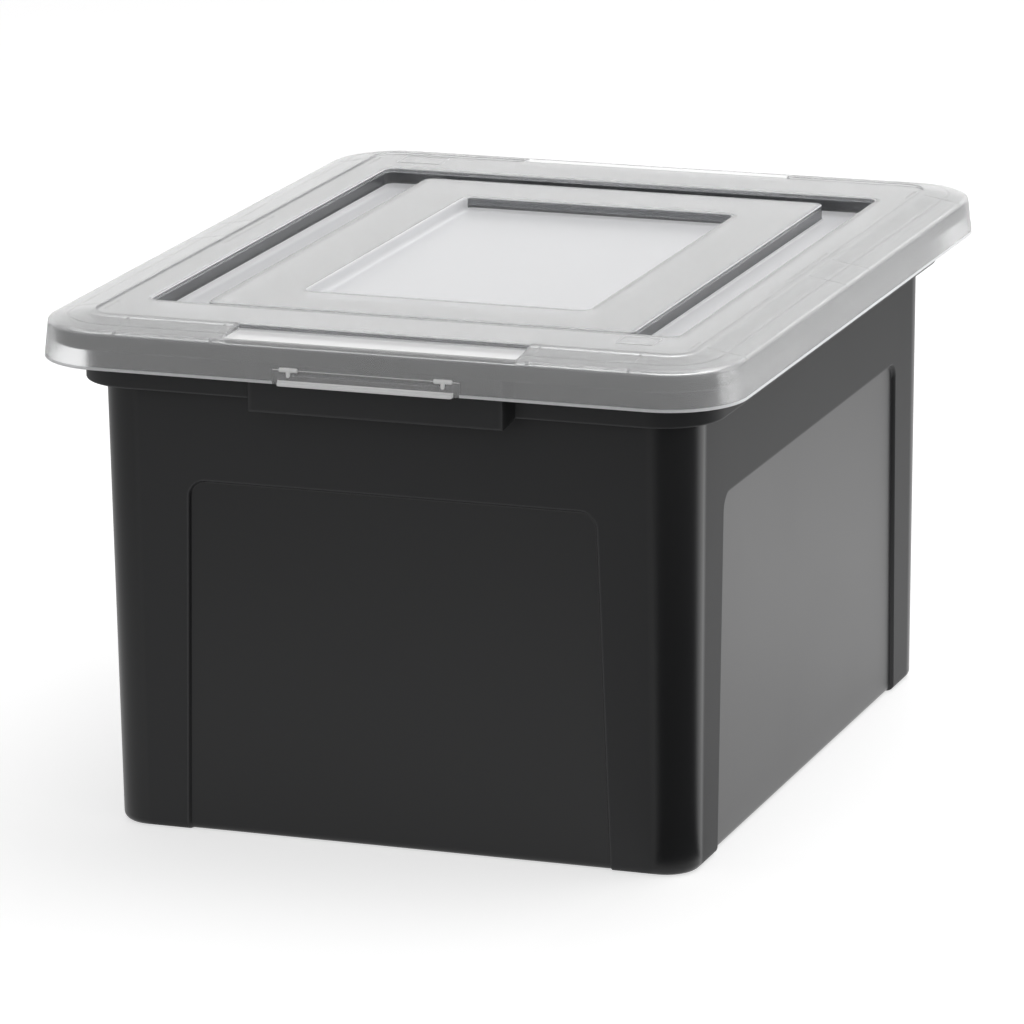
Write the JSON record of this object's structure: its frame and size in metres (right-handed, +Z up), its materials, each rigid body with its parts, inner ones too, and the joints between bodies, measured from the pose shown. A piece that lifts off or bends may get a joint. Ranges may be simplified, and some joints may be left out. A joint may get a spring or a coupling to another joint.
{
  "type": "portable file box",
  "caption": "Black open-top tub for hanging folders with a frosted see-through lift-off lid and a hinged snap latch at each end.",
  "frame": {"origin": "middle of the base, on the surface that the box stands on", "axes": "+X to the right across the front latch, +Y from the front latch to the rear latch along the box's longest side, +Z up"},
  "size_m": [0.358, 0.4556, 0.262],
  "materials": {
    "tub_plastic": "fine satin moulded polypropylene, black",
    "lid_plastic": "frosted see-through moulded polypropylene",
    "latch_plastic": "frosted see-through moulded polypropylene, whiter where it bends"
  },
  "bodies": {
    "tub": {"tub": "tub_plastic"},
    "lid": {"lid": "lid_plastic"},
    "front_latch": {"front_latch": "latch_plastic"},
    "rear_latch": {"rear_latch": "latch_plastic"}
  },
  "joints": [
    {"name": "lid_lift", "type": "slide", "parent": "tub", "child": "lid", "axis": [0, 0, 1], "range_m": [0, 0.1]},
    {"name": "front_latch_hinge", "type": "hinge", "parent": "lid", "child": "front_latch", "pos_m": [0, -0.22387, 0.2461], "axis": [-1, 0, 0], "range_deg": [0, 35], "stiffness_Nm_per_rad": 0.05},
    {"name": "rear_latch_hinge", "type": "hinge", "parent": "lid", "child": "rear_latch", "pos_m": [0, 0.22387, 0.2461], "axis": [1, 0, 0], "range_deg": [0, 35], "stiffness_Nm_per_rad": 0.05}
  ]
}
